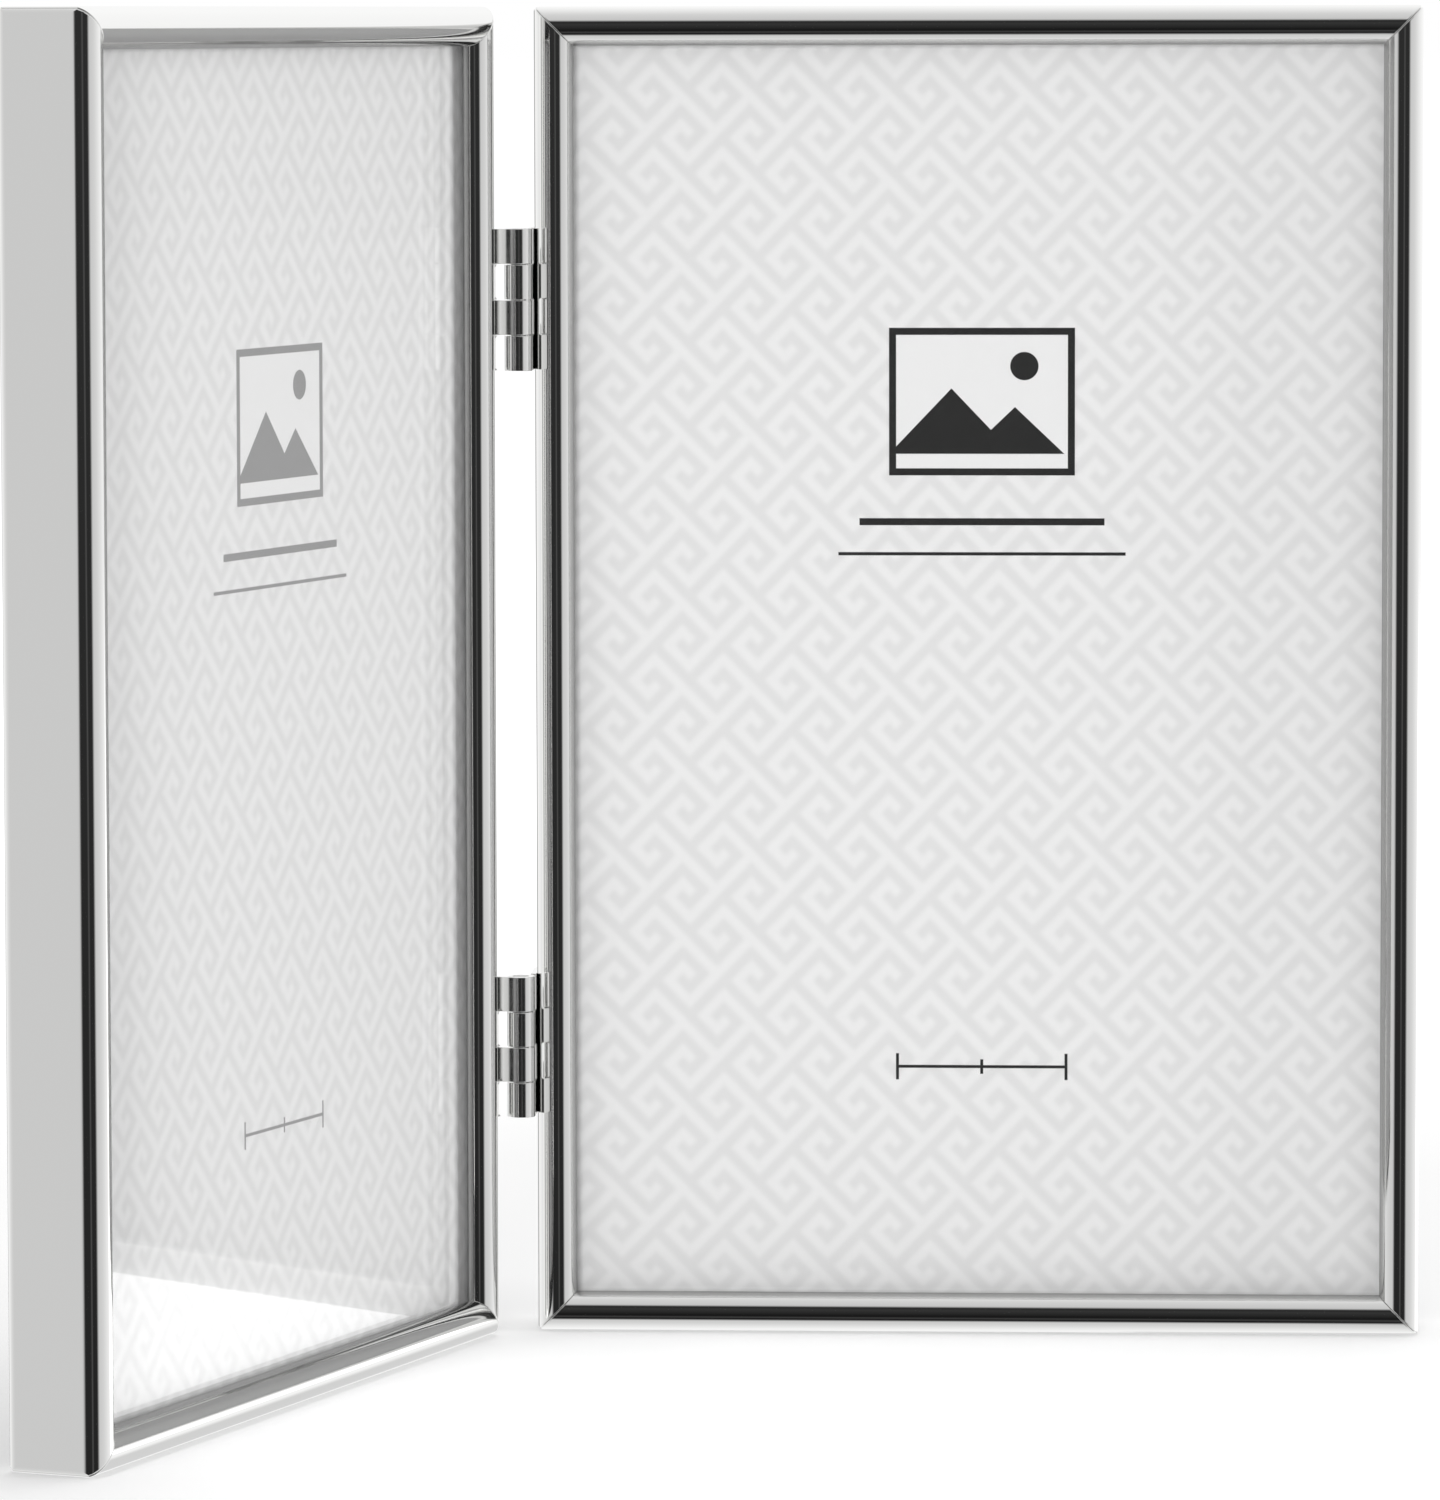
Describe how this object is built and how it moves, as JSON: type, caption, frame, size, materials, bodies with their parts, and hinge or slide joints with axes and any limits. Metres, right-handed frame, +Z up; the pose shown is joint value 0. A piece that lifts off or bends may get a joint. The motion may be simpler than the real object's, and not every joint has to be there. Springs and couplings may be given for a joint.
{
  "type": "hinged double photo frame",
  "caption": "Double photo frame for two upright prints: two slim polished metal frames with glass, joined by knuckle hinges so that it folds like a book and stands by itself.",
  "frame": {"origin": "centre of the whole object's box, on the surface that both leaves stand on, with the frame open at 110 degrees", "axes": "+Z up; the right leaf lies in the XZ plane with its glass facing -Y; the left leaf is folded forward from it, towards -Y"},
  "size_m": [0.1542, 0.1114, 0.157],
  "materials": {
    "silver_moulding": "silver plated steel sheet, mirror polished",
    "hinge_plating": "nickel plated steel strip, polished",
    "key_steel": "zinc plated strip",
    "rivet_steel": "nickel plated, satin",
    "nickel_button": "nickel plated spring steel",
    "clear_glass": "clear float glass",
    "printed_paper": "matt coated paper with a pale key pattern",
    "grey_card": "grey board",
    "hardboard": "pressed fibre board",
    "black_velvet": "black flocked velvet"
  },
  "bodies": {
    "right_leaf": {"right_hinge_stile": "silver_moulding", "right_free_stile": "silver_moulding", "right_top_rail": "silver_moulding", "right_bottom_rail": "silver_moulding", "right_corner_keys": "key_steel", "right_glass": "clear_glass", "right_photo_insert": "printed_paper", "right_filler_card": "grey_card", "right_backing_board": "hardboard", "right_backing_velvet": "black_velvet", "right_button_rivets": "rivet_steel", "right_hinge_rivets": "rivet_steel", "right_upper_hinge_plate": "hinge_plating", "right_lower_hinge_plate": "hinge_plating", "upper_hinge_pin": "rivet_steel", "lower_hinge_pin": "rivet_steel"},
    "left_leaf": {"left_hinge_stile": "silver_moulding", "left_free_stile": "silver_moulding", "left_top_rail": "silver_moulding", "left_bottom_rail": "silver_moulding", "left_corner_keys": "key_steel", "left_glass": "clear_glass", "left_photo_insert": "printed_paper", "left_filler_card": "grey_card", "left_backing_board": "hardboard", "left_backing_velvet": "black_velvet", "left_button_rivets": "rivet_steel", "left_hinge_rivets": "rivet_steel", "left_upper_hinge_plate": "hinge_plating", "left_lower_hinge_plate": "hinge_plating"},
    "right_turn_button_hinge_side_upper": {"right_turn_button_hinge_side_upper": "nickel_button"},
    "right_turn_button_hinge_side_lower": {"right_turn_button_hinge_side_lower": "nickel_button"},
    "right_turn_button_free_side_upper": {"right_turn_button_free_side_upper": "nickel_button"},
    "right_turn_button_free_side_lower": {"right_turn_button_free_side_lower": "nickel_button"},
    "left_turn_button_hinge_side_upper": {"left_turn_button_hinge_side_upper": "nickel_button"},
    "left_turn_button_hinge_side_lower": {"left_turn_button_hinge_side_lower": "nickel_button"},
    "left_turn_button_free_side_upper": {"left_turn_button_free_side_upper": "nickel_button"},
    "left_turn_button_free_side_lower": {"left_turn_button_free_side_lower": "nickel_button"}
  },
  "joints": [
    {"name": "leaf_fold", "type": "hinge", "parent": "right_leaf", "child": "left_leaf", "pos_m": [-0.02894, 0.04275, 0.0785], "axis": [0, 0, 1], "range_deg": [-75, 111.5]},
    {"name": "right_turn_button_hinge_side_upper_swivel", "type": "hinge", "parent": "right_leaf", "child": "right_turn_button_hinge_side_upper", "pos_m": [-0.01839, 0.05465, 0.1235], "axis": [0, 1, 0], "continuous": true},
    {"name": "right_turn_button_hinge_side_lower_swivel", "type": "hinge", "parent": "right_leaf", "child": "right_turn_button_hinge_side_lower", "pos_m": [-0.01839, 0.05465, 0.0335], "axis": [0, 1, 0], "continuous": true},
    {"name": "right_turn_button_free_side_upper_swivel", "type": "hinge", "parent": "right_leaf", "child": "right_turn_button_free_side_upper", "pos_m": [0.06821, 0.05465, 0.1235], "axis": [0, 1, 0], "continuous": true},
    {"name": "right_turn_button_free_side_lower_swivel", "type": "hinge", "parent": "right_leaf", "child": "right_turn_button_free_side_lower", "pos_m": [0.06821, 0.05465, 0.0335], "axis": [0, 1, 0], "continuous": true},
    {"name": "left_turn_button_hinge_side_upper_swivel", "type": "hinge", "parent": "left_leaf", "child": "left_turn_button_hinge_side_upper", "pos_m": [-0.04373, 0.0369, 0.1235], "axis": [-0.9397, 0.342, 0], "continuous": true},
    {"name": "left_turn_button_hinge_side_lower_swivel", "type": "hinge", "parent": "left_leaf", "child": "left_turn_button_hinge_side_lower", "pos_m": [-0.04373, 0.0369, 0.0335], "axis": [-0.9397, 0.342, 0], "continuous": true},
    {"name": "left_turn_button_free_side_upper_swivel", "type": "hinge", "parent": "left_leaf", "child": "left_turn_button_free_side_upper", "pos_m": [-0.07335, -0.04447, 0.1235], "axis": [-0.9397, 0.342, 0], "continuous": true},
    {"name": "left_turn_button_free_side_lower_swivel", "type": "hinge", "parent": "left_leaf", "child": "left_turn_button_free_side_lower", "pos_m": [-0.07335, -0.04447, 0.0335], "axis": [-0.9397, 0.342, 0], "continuous": true}
  ]
}
